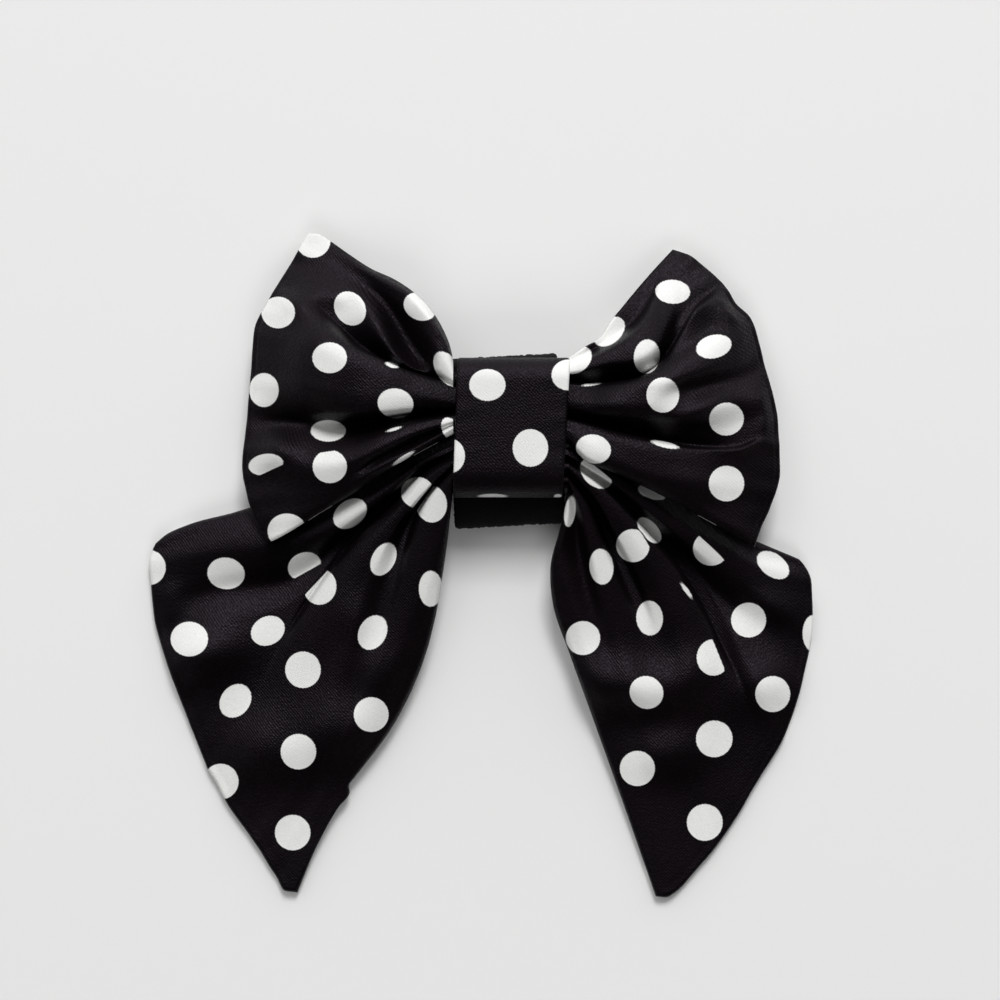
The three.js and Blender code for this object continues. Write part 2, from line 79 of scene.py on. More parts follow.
LEFT_LOOP = [
    Fold((361, 17.4), [(450, 346, 17), (442, 327, 15.5), (431, 309.5, 13.5), (413, 291.5, 11),
        (394, 279, 9), (372, 269, 7.6), (348, 253.5, 6.2), (330, 241, 5.2), (319, 234.6, 4.7)], (0, 4.4)),
    Fold((367, 19.4), [(449, 354, 19.6), (440, 336, 19.6), (425, 314, 17.8), (405, 294, 14), (379, 279, 11),
        (352, 263, 8.2), (331, 248, 6)], (0.02, 4.6)),
    Fold((374, 20), [(445, 361, 20.2), (433, 342, 19.2), (414, 318, 15.6), (395, 299, 12.4), (373, 284, 10),
        (347, 268, 8)], (0.04, 4.8)),
    Fold((381, 19.8), [(438, 371, 18.6), (424, 359, 12.8), (409, 340, 10.6), (396, 319, 10.2),
        (382, 299, 10), (349, 275, 8.6)], (0.07, 5.1)),
    Fold((383, 18.4), [(433, 374.5, 15.4), (411, 367.5, 16.2), (396, 356, 16.8), (384, 340, 16.4),
        (373, 322, 14.8), (359, 303, 12.6), (331, 282, 9.6)], (0.11, 5.6)),
    Fold((384.5, 17.6), [(428, 376, 14.2), (402, 367.5, 11.6), (380, 357.5, 10.6), (360, 345.5, 10.8),
        (340, 326.5, 11.8), (318, 305, 11.6), (300, 289, 9.2)], (0.17, 6.6), sharp=1),
    Fold((387, 19), [(424, 377.5, 19.8), (399, 368.5, 21), (374.8, 357.5, 21.8), (351, 347.5, 22),
        (327, 333.5, 20), (298, 319, 15)], (0.25, 8.2)),
    Fold((393, 19.8), [(416, 384, 21.4), (383, 376, 23.4), (352, 365, 23.6), (318, 348, 21),
        (284, 336, 14)], (0.33, 8.8)),
    Fold((402, 20.2), [(414, 396, 22.2), (376, 394, 23.8), (340, 390, 22.8), (305, 384, 19.5),
        (272, 380, 13)], (0.48, 9.6)),
    Fold((408, 18.8), [(414, 408.5, 21), (376, 411.5, 22.8), (340, 412.5, 20.6), (305, 412, 15),
        (272, 410, 11.6)], (0.58, 9.8)),
    Fold((412, 15.6), [(414, 415, 12.6), (376, 421, 11.8), (340, 424, 11.2), (305, 424, 11.4),
        (273, 424, 10.6)], (0.63, 10)),
    Fold((416, 19.4), [(414, 423, 20), (384, 434, 20.6), (352, 447, 19), (312, 453, 16.8),
        (276, 445, 14.2)], (0.7, 10.4)),
    Fold((421, 19.8), [(414, 433, 21.2), (384, 446, 22), (350, 461, 20.4), (308, 466, 17.8),
        (271, 460, 14.6)], (0.75, 10.6)),
    Fold((425, 18.2), [(414, 443, 17.8), (384, 457, 18.6), (350, 475, 18.8), (306, 484, 16.4),
        (264, 474, 12.6)], (0.79, 10.7), sharp=1),
    Fold((428, 19.2), [(414, 449, 20), (384, 464, 20), (350, 484, 18), (306, 501, 15.4),
        (270, 502, 12.4)], (0.88, 10.7)),
    Fold((431, 18.8), [(414, 453, 19.6), (384, 469, 19.2), (352, 489, 17.2), (306, 514, 15),
        (277, 525, 12.8)], (0.96, 11)),
    Fold((434, 18.2), [(412, 456, 18), (386, 471, 17.4), (360, 489, 16), (321, 512, 14.4),
        (280, 537, 12.2)], (1, 11.1)),
]
LEFT_LOOP_RIM = [
    (308.5, 233.4), (303, 241), (297.6, 250.6), (271, 295), (254, 328), (249.5, 383), (244.5, 437),
    (241.5, 465), (250, 508), (267, 543),
]

RIGHT_LOOP = [
    Fold((359, 17.4), [(589, 346, 15), (598, 340, 13.6), (614, 317.5, 11.5), (630, 297.5, 9.5),
        (650, 274, 7)], (0, 4.4)),
    Fold((362, 17.6), [(589, 351, 14.6), (606, 341, 12.8), (622, 329, 11.2), (638, 313, 10.2),
        (650, 295, 9), (662, 272, 7)], (0.02, 4.6)),
    Fold((366, 19.4), [(592, 359, 19.8), (606, 352.5, 20), (622.5, 344, 20), (640, 330.5, 18.6),
        (651, 314, 15.8), (657, 298, 12), (668, 278, 7.6)], (0.05, 5.3)),
    Fold((372, 19.8), [(592, 367, 20.4), (608, 362.5, 20.8), (634, 358.5, 20.8), (653, 347, 19.2),
        (664, 328, 16), (672, 308, 11.8), (682, 282, 7.8)], (0.1, 6)),
    Fold((379, 17.2), [(592, 379, 16), (612, 378, 15), (638, 373.5, 14.6), (654.5, 364.5, 13.6),
        (667, 347, 12.6), (678, 322, 11), (693, 300, 8.6)], (0.15, 6.6)),
    Fold((381, 16.2), [(592, 382.5, 12.8), (612, 380.7, 11.4), (640, 375.5, 11), (656, 366, 11.2),
        (669, 349, 11.2), (682, 329, 11.2), (697, 306, 9.2)], (0.175, 6.8), sharp=1),
    Fold((382.5, 17.4), [(592, 384.3, 17), (612, 382.2, 17.4), (643, 376, 18), (661, 363.5, 17.4),
        (680, 337, 16.4), (697, 311, 14.6), (714, 300.5, 12)], (0.21, 7.3)),
    Fold((384, 18.6), [(592, 385.5, 19.4), (612, 383.3, 20), (646, 375.5, 20.4), (667, 362.5, 19.6),
        (690, 344, 16.8), (710, 326, 13.8), (728, 314, 12.8)], (0.25, 7.9)),
    Fold((386, 18.8), [(592, 387.5, 19.8), (612, 385, 21), (650, 376, 22), (674, 364, 20.8),
        (698, 350, 18.2), (720, 338, 15.4), (738, 330, 12.4)], (0.31, 8.2)),
    Fold((393, 19.6), [(592, 395, 21), (616, 392, 22.8), (656, 385, 23.6), (698, 371, 20.4),
        (738, 357, 14)], (0.4, 8.8)),
    Fold((402, 20.2), [(592, 404, 22), (616, 404, 23.8), (650, 401, 23.4), (690, 390, 17.6),
        (742, 376, 11.8)], (0.46, 9.2)),
    Fold((409, 19.6), [(592, 411.5, 21.6), (616, 415, 22.4), (652, 416, 21.6), (697, 412, 18.8),
        (738, 401, 14.2), (760, 399, 12.6)], (0.54, 9.8)),
    Fold((413.5, 17.8), [(592, 417, 17.4), (614, 422, 16.4), (652, 428, 15.6), (700, 431, 15.4),
        (740, 427, 12.6), (763, 421, 12.9)], (0.61, 10.3)),
    Fold((417, 15.6), [(592, 421.5, 12.4), (610, 426.5, 11.4), (648, 437, 11.8), (700, 446, 12.8),
        (740, 445, 12.4), (760, 437, 12.8)], (0.665, 10.6), sharp=1),
    Fold((420, 18.4), [(592, 425.5, 18.8), (610, 431, 19.4), (648, 441, 19.4), (700, 450, 17.6),
        (740, 450, 15.4), (762, 443, 12.8)], (0.7, 10.8)),
    Fold((425, 19), [(590, 434, 20), (612, 441, 20.8), (650, 453, 20.4), (702, 464, 17.8),
        (744, 466, 14)], (0.77, 11.1)),
    Fold((431, 19.6), [(590, 446, 20.8), (613, 456, 21), (650, 471, 20), (702, 490, 17),
        (744, 499, 13)], (0.87, 11)),
    Fold((438, 19.4), [(588, 457, 20.4), (612, 467, 20.2), (650, 484, 18.8), (703, 509, 16),
        (741, 528, 13.4)], (0.955, 11.7)),
    Fold((443, 18.2), [(586, 461, 18.6), (612, 472, 18.2), (650, 489, 17), (702, 517, 14.8),
        (738, 537, 12.8)], (1, 11.9)),
]
RIGHT_LOOP_RIM = [
    (673, 249), (690, 254.8), (709, 270), (728, 289), (735, 301.5), (748, 312.5), (757.8, 335.6),
    (764.4, 362), (771, 385), (777.6, 412), (779.5, 440), (780.5, 475), (776, 495), (765, 519), (755, 547),
]

LEFT_TAIL = [
    Fold((431, 13.3), [(400, 449, 10), (364, 465, 7.8), (304, 488, 6), (235, 512, 4.6), (187, 525, 4),
        (165, 535, 3.6)], (0, 3.4)),
    Fold((436, 13.6), [(402, 458, 10.8), (364, 475, 9), (304, 500, 7.2), (228, 524, 5.6)], (0.02, 3.4)),
    Fold((446, 16.4), [(421, 463, 15.4), (394, 484, 14), (350, 514, 12.2), (310, 536, 10),
        (215, 550, 6.4)], (0.055, 3.6)),
    Fold((450, 16.6), [(421, 466.5, 15), (394.5, 489, 13.4), (351, 521.5, 11.4), (310, 549, 8.2),
        (215, 572, 5)], (0.11, 3.2)),
    Fold((452.5, 15.2), [(421.5, 469, 10.4), (395.5, 493, 7), (349, 533, 4), (292, 580, 2.9),
        (215, 594, 3)], (0.19, 2.6)),
    Fold((454.5, 15.2), [(422, 470.5, 10.4), (396.5, 495, 6.8), (347, 541, 3.6), (290, 604, 4.2),
        (205, 632, 4.8)], (0.34, 2.6)),
    Fold((456.5, 15.2), [(423, 472, 10.4), (397.5, 497.5, 6.6), (347, 547, 3.4), (311, 594, 3.2),
        (286, 634, 4.2), (267, 668, 4.0), (238, 722, 3)], (0.6, 2.4), sharp=1),
    Fold((458.5, 17.4), [(425, 474, 15), (400, 500.5, 12.8), (350, 550, 9.8), (315, 597, 7.2),
        (291, 638, 5.6), (273, 672, 4.4), (246, 728, 3.2)], (0.64, 2.4)),
    Fold((462, 18), [(427, 478.5, 16), (403, 506, 14), (360, 560, 11.4), (328, 622, 8.4), (291, 697, 5.2),
        (256, 767, 3.4)], (0.71, 2.4)),
    Fold((465, 17.8), [(430.5, 484.5, 16), (407, 511, 13.8), (373, 570, 11.2), (347, 645, 8.4),
        (318, 718, 5.2), (285, 796, 3.4)], (0.8, 2.4)),
    Fold((467, 15.2), [(432.3, 486.5, 9.8), (412, 515, 8.4), (390, 574, 8.8), (367, 645, 7.3),
        (338, 722, 4.8), (303, 804, 3.2)], (0.85, 2.4)),
    Fold((468.5, 15.2), [(433.7, 488, 9.8), (415, 517, 8.4), (396, 575, 8.8), (376, 645, 7.3),
        (345, 724, 4.7), (308, 808, 3.2)], (0.87, 2.4)),
    Fold((470.5, 17.8), [(436, 490.5, 15.4), (419, 520, 13.2), (404, 577, 10.6), (384, 645, 8.2),
        (351, 724, 5), (313, 811, 3.3)], (0.895, 2.4)),
    Fold((475, 18), [(442, 497, 16.2), (430, 526, 14.2), (417, 581, 11.4), (395, 650, 8.4), (360, 729, 5),
        (320, 815, 3.3)], (0.925, 2.4)),
    Fold((482, 17.4), [(449, 508, 15.8), (441, 540, 13.6), (427, 592, 10.8), (407, 655, 7.8),
        (371, 736, 4.6), (328, 820, 3.2)], (0.965, 2.4)),
    Fold((488, 16), [(450, 518, 13.4), (447, 545, 11.4), (441.5, 582, 9.4), (437, 609, 8.2), (422, 665, 6),
        (396, 721, 4.2), (354, 778.5, 3.4), (349, 785, 3.4), (349.5, 793, 3.4), (339, 807, 3.3),
        (318, 844, 3)], (1, 2.4)),
]
LEFT_TAIL_RIM = [
    (155, 543.5), (149.5, 557), (150.3, 585), (153.8, 618), (159, 642), (168, 667), (184.6, 712),
    (201, 759), (208.5, 772), (220, 790), (234, 817), (253, 841), (275, 876), (289, 894), (297, 893),
]

RIGHT_TAIL = [
    Fold((439, 13.3), [(620, 461, 9), (680, 495, 6), (740, 533, 4.6)], (0, 3.4)),
    Fold((444, 14), [(600, 458, 13), (650, 488, 9.4), (706, 523, 6), (750, 550, 4.8)], (0.02, 3.4)),
    Fold((449, 17), [(602, 467, 16.2), (652, 503, 13.2), (708, 541, 9.4), (762, 568, 6.2)], (0.07, 3.4)),
    Fold((455, 17.6), [(605, 478, 16), (657, 518, 12.6), (708, 558, 8.4), (766, 594, 5.4)], (0.17, 3.2)),
    Fold((458, 15), [(608, 483, 9), (652, 523, 5.4), (686, 558, 3.6), (716, 594, 3),
        (762, 630, 3.6)], (0.31, 2.8)),
    Fold((460, 14.8), [(607, 486, 8.6), (648, 526, 4.8), (681, 561, 3.1), (708, 598, 2.8), (742, 652, 5),
        (768, 700, 3.8)], (0.46, 2.5)),
    Fold((462, 14.6), [(606, 488, 8.6), (645, 528.5, 4.8), (677, 563, 3), (701, 600, 2.6), (720, 640, 3.2),
        (737, 674, 3.7), (756, 728, 3)], (0.58, 2.4), sharp=1),
    Fold((464, 17.8), [(603, 489.5, 15.8), (642, 530.5, 13.2), (672, 565, 10), (695, 603, 7.6),
        (713, 641, 6), (729.5, 679, 4.8), (745, 735, 3.2)], (0.62, 2.4)),
    Fold((467, 18), [(600, 492.5, 16.2), (632, 533, 13.8), (659, 575, 11.2), (682, 628, 8.4),
        (700, 700, 5.4), (716, 760, 3.6)], (0.7, 2.4)),
    Fold((470, 17.4), [(595, 497.5, 15.8), (614, 531, 13.6), (634, 567, 11), (654, 614, 8.6),
        (680, 700, 5.2), (695, 780, 3.4)], (0.79, 2.4)),
    Fold((472.5, 14.6), [(592, 500, 9), (610.5, 535, 6), (629, 571, 7.6), (648, 618, 7.6), (672, 710, 4.9),
        (686, 790, 3.2)], (0.83, 2.4)),
    Fold((475, 14.6), [(589.5, 502, 9), (606, 538, 6), (623, 575, 7.6), (643, 622, 7.5), (668, 712, 4.8),
        (682, 794, 3.2)], (0.855, 2.4)),
    Fold((478, 17.4), [(586, 503, 15.2), (600, 540, 12.8), (616, 577, 10.4), (636, 628, 8), (660, 715, 5),
        (674, 800, 3.3)], (0.885, 2.4)),
    Fold((481, 17.8), [(580, 506, 16), (590, 545, 13.8), (603, 595, 11), (624, 655, 8), (648, 740, 5),
        (664, 815, 3.3)], (0.925, 2.4)),
    Fold((483.5, 15.8), [(574, 507, 12.4), (578, 548, 9.8), (590, 602, 8.8), (610, 665, 7), (636, 748, 4.6),
        (654, 822, 3.2)], (0.95, 2.4)),
    Fold((486, 16.8), [(568, 512, 14.8), (562, 550, 12.8), (573, 606, 10.4), (592, 670, 7.4),
        (618, 750, 4.6), (643, 828, 3.2)], (0.975, 2.4)),
    Fold((488, 16), [(561, 524, 13.4), (550.5, 568, 11), (553, 604, 9.2), (570, 655, 7), (592, 716, 4.8),
        (621, 797, 3.2)], (1, 2.4)),
]
RIGHT_TAIL_RIM = [
    (799, 559), (808.4, 570), (813, 592), (813.5, 620), (808.5, 655), (801, 688), (791.8, 716),
    (778.5, 752), (763.5, 773), (747, 800), (730, 829), (715, 849), (697, 870), (674, 894), (666, 898),
    (656, 897),
]

# Dots on the front, as each is seen: (across the picture, down it, half width, half height, turn
# clockwise in degrees). Where a fold hides a part, four more numbers give two points on the line of the
# fold: the dot shows on its left, going from the first point to the second.
LEFT_LOOP_DOTS = [
    (313, 240.5, 17.5, 17.2, 0), (278.2, 312.5, 16.8, 15.8, 0), (350, 308.4, 15, 18, -35),
    (420, 306.5, 17, 13.5, 25), (447.5, 369, 19.5, 11.5, 58), (329.6, 357.7, 17.4, 15.4, 0),
    (264, 390, 14.8, 17, 0), (395.5, 403.4, 18, 15, 10), (328.2, 430.8, 17.5, 10.8, 0),
    (329.8, 466.5, 17.2, 16.6, 0, 350, 448.5, 310, 454), (266, 464.6, 17.6, 10.8, -8, 256, 477, 284, 464),
    (287, 531, 19.5, 17.6, 0), (451, 429.5, 8.5, 13, -30), (391.8, 365, 7, 2.6, 15),
    (394, 429.2, 8, 1.5, -17), (403.5, 458.2, 12.4, 2.4, -33),
]
RIGHT_LOOP_DOTS = [
    (672.7, 291.7, 17.4, 12, 3), (713.9, 346.5, 18, 11.6, -14), (646.8, 356.4, 13, 17.2, 6),
    (662.8, 395, 16.4, 17.6, 0), (726.5, 419, 17.4, 16.4, -15), (726.5, 483.5, 17.8, 17.8, 0),
    (609.3, 331.5, 18, 12, -42), (576.8, 360, 16.5, 12, -38), (593.5, 449, 17.6, 14.5, 12),
    (591.5, 384.3, 9, 1.5, -8), (665, 444.6, 14, 3.1, 13),
]
LEFT_TAIL_DOTS = [
    (148.5, 567.5, 17.4, 17.6, 0), (226, 573.3, 18.8, 15.8, 8), (189.3, 639, 18.8, 17.4, 0),
    (267.8, 630.7, 17.6, 14.2, -28), (235.4, 700.7, 18.2, 14.6, -52), (220.8, 781.5, 17.8, 17.8, 0),
    (303, 669.7, 17.8, 18.3, 0), (298.4, 751.6, 17.8, 17.8, 0), (292.7, 832.5, 17.8, 17.8, 0),
    (371.2, 714.5, 17.4, 17.4, -30), (372.6, 632.5, 18.2, 13.8, -62), (383.4, 559.2, 17.6, 11.6, -62),
    (430.6, 588.6, 11.8, 18, 0), (431.5, 504, 15.5, 18.5, -5, 435, 484, 416, 512),
    (417.5, 492.5, 16.5, 15.5, 0, 409, 512, 434, 482), (350, 513.6, 18.4, 13.2, -36),
    (304.5, 566.3, 17, 13.8, -20, 288, 582, 324, 562), (320, 586.8, 16.4, 18, 10, 331, 567, 300, 600),
]
RIGHT_TAIL_DOTS = [
    (596, 473.5, 18.4, 12.2, 42, 614, 482, 588, 460), (652, 492.4, 15, 6.4, 18),
    (649.3, 530.2, 15.5, 8.4, 48, 638, 527, 653, 547), (570, 511.5, 5.6, 15.5, 8),
    (632.8, 545.6, 16.8, 16.4, 30, 651, 549, 640, 531), (601.4, 566.6, 12, 18, -6),
    (711, 548.6, 18, 17, 0, 724.6, 559.5, 697, 533.5), (773, 565, 18.2, 11.4, 36),
    (748.6, 620, 17.6, 17.4, 0), (813.5, 633.3, 11, 18.4, 0), (686.4, 590.4, 10, 2.1, 54),
    (649.6, 618, 13.4, 17.4, -4), (583, 638, 17.2, 17, 0),
    (713.4, 657.4, 16.8, 18.2, 0, 727, 675, 711.5, 637), (772.8, 694, 17.6, 18, 0),
    (646.5, 692.4, 17.2, 16.2, 30), (714.3, 738.8, 18.4, 18.4, 0), (637.4, 768.4, 17.6, 17.6, 0),
    (704.8, 822.4, 18, 18.4, 0),
]
KNOT_DOTS = [
    (487.4, 385, 18.2, 16, 0), (530.4, 448, 17.8, 18.8, 0), (568.5, 375, 17, 15.5, 0),
    (450.5, 456, 14.5, 17, 0), (492.5, 496.3, 14.5, 2.5, 0), (558, 496.5, 4, 2.5, 0),
]

# Soft bumps of the slack cloth, as (across the picture, down it, half width, half height, turn, height in
# millimetres).
LEFT_LOOP_BUMPS = [
    (301, 300, 28, 13, -12, 1.6), (338, 298, 12, 8, 20, 0.6), (279, 450, 17, 15, 0, 1.8),
]
RIGHT_LOOP_BUMPS = [
    (700, 285, 18, 10, -25, 0.6), (704, 406, 26, 12, -20, 1.4), (690, 482, 40, 13, 8, 1.0),
]
LEFT_TAIL_BUMPS = [
    (205, 655, 44, 24, -18, 3.0), (172, 602, 16, 20, 0, 1.2), (338, 728, 46, 34, -35, 3.8),
    (372, 668, 26, 30, -20, 1.8), (352, 618, 22, 26, -40, 1.2), (262, 748, 34, 34, 20, 2.4),
]
RIGHT_TAIL_BUMPS = [
    (632, 686, 62, 26, 12, 4.0), (690, 672, 22, 28, 60, 1.8), (668, 752, 34, 26, -10, 2.6),
    (762, 684, 28, 26, 0, 2.6), (772, 606, 26, 14, 25, 1.2),
]

FINE_STEPS = 600  # of a smooth line, before it is read at the places that are asked for


def ray_point(across, down, height):
    """The point at this height, in the row frame, that the camera sees there in the picture."""
    scale = (CAMERA_HEIGHT - height) / FOCAL
    x = CAMERA_X + (across - FRAME / 2) * scale
    y = CAMERA_Y - (down - FRAME / 2) * scale
    return np.array([x, y, height])


def in_picture(points):
    """Where the camera sees these points in the picture."""
    scale = FOCAL / (CAMERA_HEIGHT - points[..., 2])
    across = FRAME / 2 + (points[..., 0] - CAMERA_X) * scale
    down = FRAME / 2 - (points[..., 1] - CAMERA_Y) * scale
    return np.stack([across, down], axis=-1)


def cubic_spans(knots, values, before, after, at):
    """A cubic through a row of values at each knot, with the slopes just before and just after it."""
    i = np.clip(np.searchsorted(knots, at, side="right") - 1, 0, len(knots) - 2)
    step = (knots[i + 1] - knots[i])[:, None]
    s = ((at - knots[i]) / step[:, 0])[:, None]
    return (
        values[i] * (2 * s**3 - 3 * s**2 + 1)
        + after[i] * step * (s**3 - 2 * s**2 + s)
        + values[i + 1] * (3 * s**2 - 2 * s**3)
        + before[i + 1] * step * (s**3 - s**2)
    )


def cubic_through(knots, values, at, crease=0):
    """A cubic through the values that is level at each high and low one, and never overshoots.
    values has a row per knot. crease says for each row how sharp its bend is, from 0 to 1."""
    values = values.reshape(len(knots), -1)
    rise = np.diff(values, axis=0) / np.diff(knots)[:, None]
    product = rise[:-1] * rise[1:]
    mean = np.where(product > 0, 2 * product / np.where(product > 0, rise[:-1] + rise[1:], 1), 0)
    bend = np.broadcast_to(np.array(crease, float), len(knots))[1:-1, None]
    before = np.vstack([rise[:1], mean * (1 - bend) + rise[:-1] * bend, rise[-1:]])
    after = np.vstack([rise[:1], mean * (1 - bend) + rise[1:] * bend, rise[-1:]])
    return cubic_spans(knots, values, before, after, at)


def lengths(points, axis=0):
    """Length along each line of points, from its first."""
    steps = np.linalg.norm(np.diff(points, axis=axis), axis=-1)
    first = np.zeros_like(np.take(steps, [0], axis=axis))
    return np.concatenate([first, np.cumsum(steps, axis=axis)], axis=axis)


def smooth_line(points, at):
    """A smooth line through points, read at shares of its length, with no level spots of its own."""
    points = np.array(points, float)
    knots = lengths(points)
    slope = np.gradient(points, knots, axis=0)
    line = cubic_spans(knots, points, slope, slope, np.linspace(0, knots[-1], FINE_STEPS))
    share = lengths(line)
    share /= share[-1]
    return np.stack([np.interp(at, share, column) for column in line.T], axis=1)


def smoothstep(value, low, high):
    s = np.clip((value - low) / (high - low), 0, 1)
    return s * s * (3 - 2 * s)


def soft_min(a, b, rounding):
    h = np.clip(0.5 + (b - a) / (2 * rounding), 0, 1)
    return b + (a - b) * h - rounding * h * (1 - h)


# The front of a loop or tail, as a grid [along][across].

NEAR_RIM = -4  # the row from which the cloth's way over the rim is measured
RIM_WEIGHT = 0.6  # how much of a fold's width near the rim counts for the number of its columns
NARROWEST = 0.6  # the least width that a fold is given columns for


def along_fold(points, along):
    """The line of one fold: smooth in plan, and level at its high and low points."""
    plan = smooth_line(points[:, :2], along)
    knots = lengths(points[:, :2])
    height = cubic_through(knots / knots[-1], points[:, 2], along)
    return np.concatenate([plan, height], axis=1)


def front_grid(side, folds, rim, along, spacing, inset):
    """The grid, and the share of the way across of each column. along goes from the knot, 0, to the rim, 1,
    and across goes over the folds, from the top edge down. inset keeps the grid back from the rim."""
    ends = smooth_line(rim, [fold.rim[0] for fold in folds])
    lines = []
    for fold, end in zip(folds, ends):
        start = ray_point(FRAME / 2, *fold.knot)
        start[0] = side * GATHER_X
        via = [ray_point(*place) for place in fold.via]
        points = np.array([start, *via, ray_point(*end, fold.rim[1])])
        back = points[-2, :2] - points[-1, :2]
        points[-1, :2] += inset * back / np.linalg.norm(back)
        lines.append(along_fold(points, along))
    lines = np.array(lines)
    width = np.linalg.norm(np.diff(lines[:, len(along) // 2], axis=0), axis=1)
    rim_width = np.linalg.norm(np.diff(lines[:, NEAR_RIM], axis=0), axis=1)
    width = np.maximum(width, rim_width * RIM_WEIGHT)
    knots = np.concatenate([[0], np.cumsum(np.maximum(width, NARROWEST))])
    across = []
    for low, high in zip(knots, knots[1:]):
        columns = max(3, math.ceil((high - low) / spacing))
        across.append(np.linspace(low, high, columns, endpoint=False))
    across = np.concatenate([*across, knots[-1:]])
    grid = cubic_through(knots, lines, across, [fold.sharp for fold in folds])
    return grid.reshape(len(across), len(along), 3).transpose(1, 0, 2), across / knots[-1]


def in_ellipse(seen, across, down, half_width, half_height, turn):
    """Places in the picture, along and beside the axes of an ellipse, in shares of its half sizes."""
    cosine = math.cos(math.radians(turn))
    sine = math.sin(math.radians(turn))
    x = seen[..., 0] - across
    y = seen[..., 1] - down
    return (x * cosine + y * sine) / half_width, (y * cosine - x * sine) / half_height


def dot_distance(points, dots):
    """Distance in millimetres outside the edge of the nearest dot, below 0 inside one."""
    seen = in_picture(points)
    to_mm = (CAMERA_HEIGHT - DOT_HEIGHT) / FOCAL
    nearest = np.full(points.shape[:-1], NO_DOT)
    for across, down, half_width, half_height, turn, *fold in dots:
        along, beside = in_ellipse(seen, across, down, half_width, half_height, turn)
        distance = (np.hypot(along, beside) - 1) * min(half_width, half_height)
        if fold:
            start, end = np.array(fold[:2]), np.array(fold[2:])
            run = (end - start) / np.linalg.norm(end - start)
            hidden = run[0] * (seen[..., 1] - start[1]) - run[1] * (seen[..., 0] - start[0])
            distance = np.maximum(distance, hidden)
        nearest = np.minimum(nearest, distance * to_mm)
    return nearest


def bumps_at(points, bumps):
    """How far the soft bumps lift these points."""
    seen = in_picture(points)
    total = np.zeros(points.shape[:-1])
    for *ellipse, height in bumps:
        along, beside = in_ellipse(seen, *ellipse)
        total += height * np.exp(-(along**2) - beside**2)
    return total


def lattice_distance(u, v):
    """Distance outside the nearest dot of the cloth's own even pattern, laid flat, below 0 inside one."""
    nearest = np.full(u.shape, NO_DOT)
    row_height = DOT_PITCH * math.sqrt(3) / 2
    row = np.round(v / row_height)
    for near_row in (row - 1, row, row + 1):
        shift = np.where(near_row % 2 == 0, 0.0, DOT_PITCH / 2)
        centre = np.round((u - shift) / DOT_PITCH) * DOT_PITCH + shift
        nearest = np.minimum(nearest, np.hypot(u - centre, v - near_row * row_height) - DOT_RADIUS)
    return nearest


def new_object(name, data):
    made = bpy.data.objects.new(name, data)
    bpy.context.scene.collection.objects.link(made)
    return made


def mesh_piece(name, points, faces, materials, dots=None, cloth=None):
    """A piece from points in millimetres. dots and cloth are values at its points."""
    mesh = bpy.data.meshes.new(name)
    mesh.from_pydata((points.reshape(-1, 3) * MM).tolist(), [], faces)
    for material in materials:
        mesh.materials.append(material)
    mesh.polygons.foreach_set("use_smooth", np.ones(len(mesh.polygons), bool))
    if dots is not None:
        layer = mesh.attributes.new("dots", "FLOAT", "POINT")
        layer.data.foreach_set("value", dots.ravel().astype(np.float32))
    if cloth is not None:
        layer = mesh.attributes.new("cloth", "FLOAT_VECTOR", "POINT")
        layer.data.foreach_set("vector", cloth.ravel().astype(np.float32))
    mesh.update()
    return new_object(name, mesh)


def grid_faces(rows, columns, flip, round_rows=False, round_columns=False, first=0):
    """Faces between the points of a grid, whose rows or columns may meet again all the way round."""
    r = np.arange(rows if round_rows else rows - 1)[:, None]
    c = np.arange(columns if round_columns else columns - 1)[None, :]
    row, next_row = r * columns, (r + 1) % rows * columns
    next_c = (c + 1) % columns
    quads = np.stack([row + c, row + next_c, next_row + next_c, next_row + c], axis=-1).reshape(-1, 4)
    return (first + (quads[:, ::-1] if flip else quads)).tolist()


# Materials.

BLACK = (0.0004, 0.0001, 0.0002)
BLACK_WORN = (0.0034, 0.0018, 0.0027)
WHITE = (0.88, 0.88, 0.86)
WHITE_SHADE = (0.81, 0.81, 0.795)
TAPE_BLACK = (0.003, 0.003, 0.0035)
TAPE_PILE = (0.013, 0.012, 0.014)

TWILL_PITCH = 0.56  # between the diagonal lines of the weave
WALE_RELIEF = 0.55  # the share of the diagonal lines and of the uneven yarns in the weave's relief
YARN_RELIEF = 4.5
PRINT_RELIEF = 0.35  # the share of the relief that is left where a dot is printed
PRINT_MATT = 0.12  # how much rougher a printed dot is


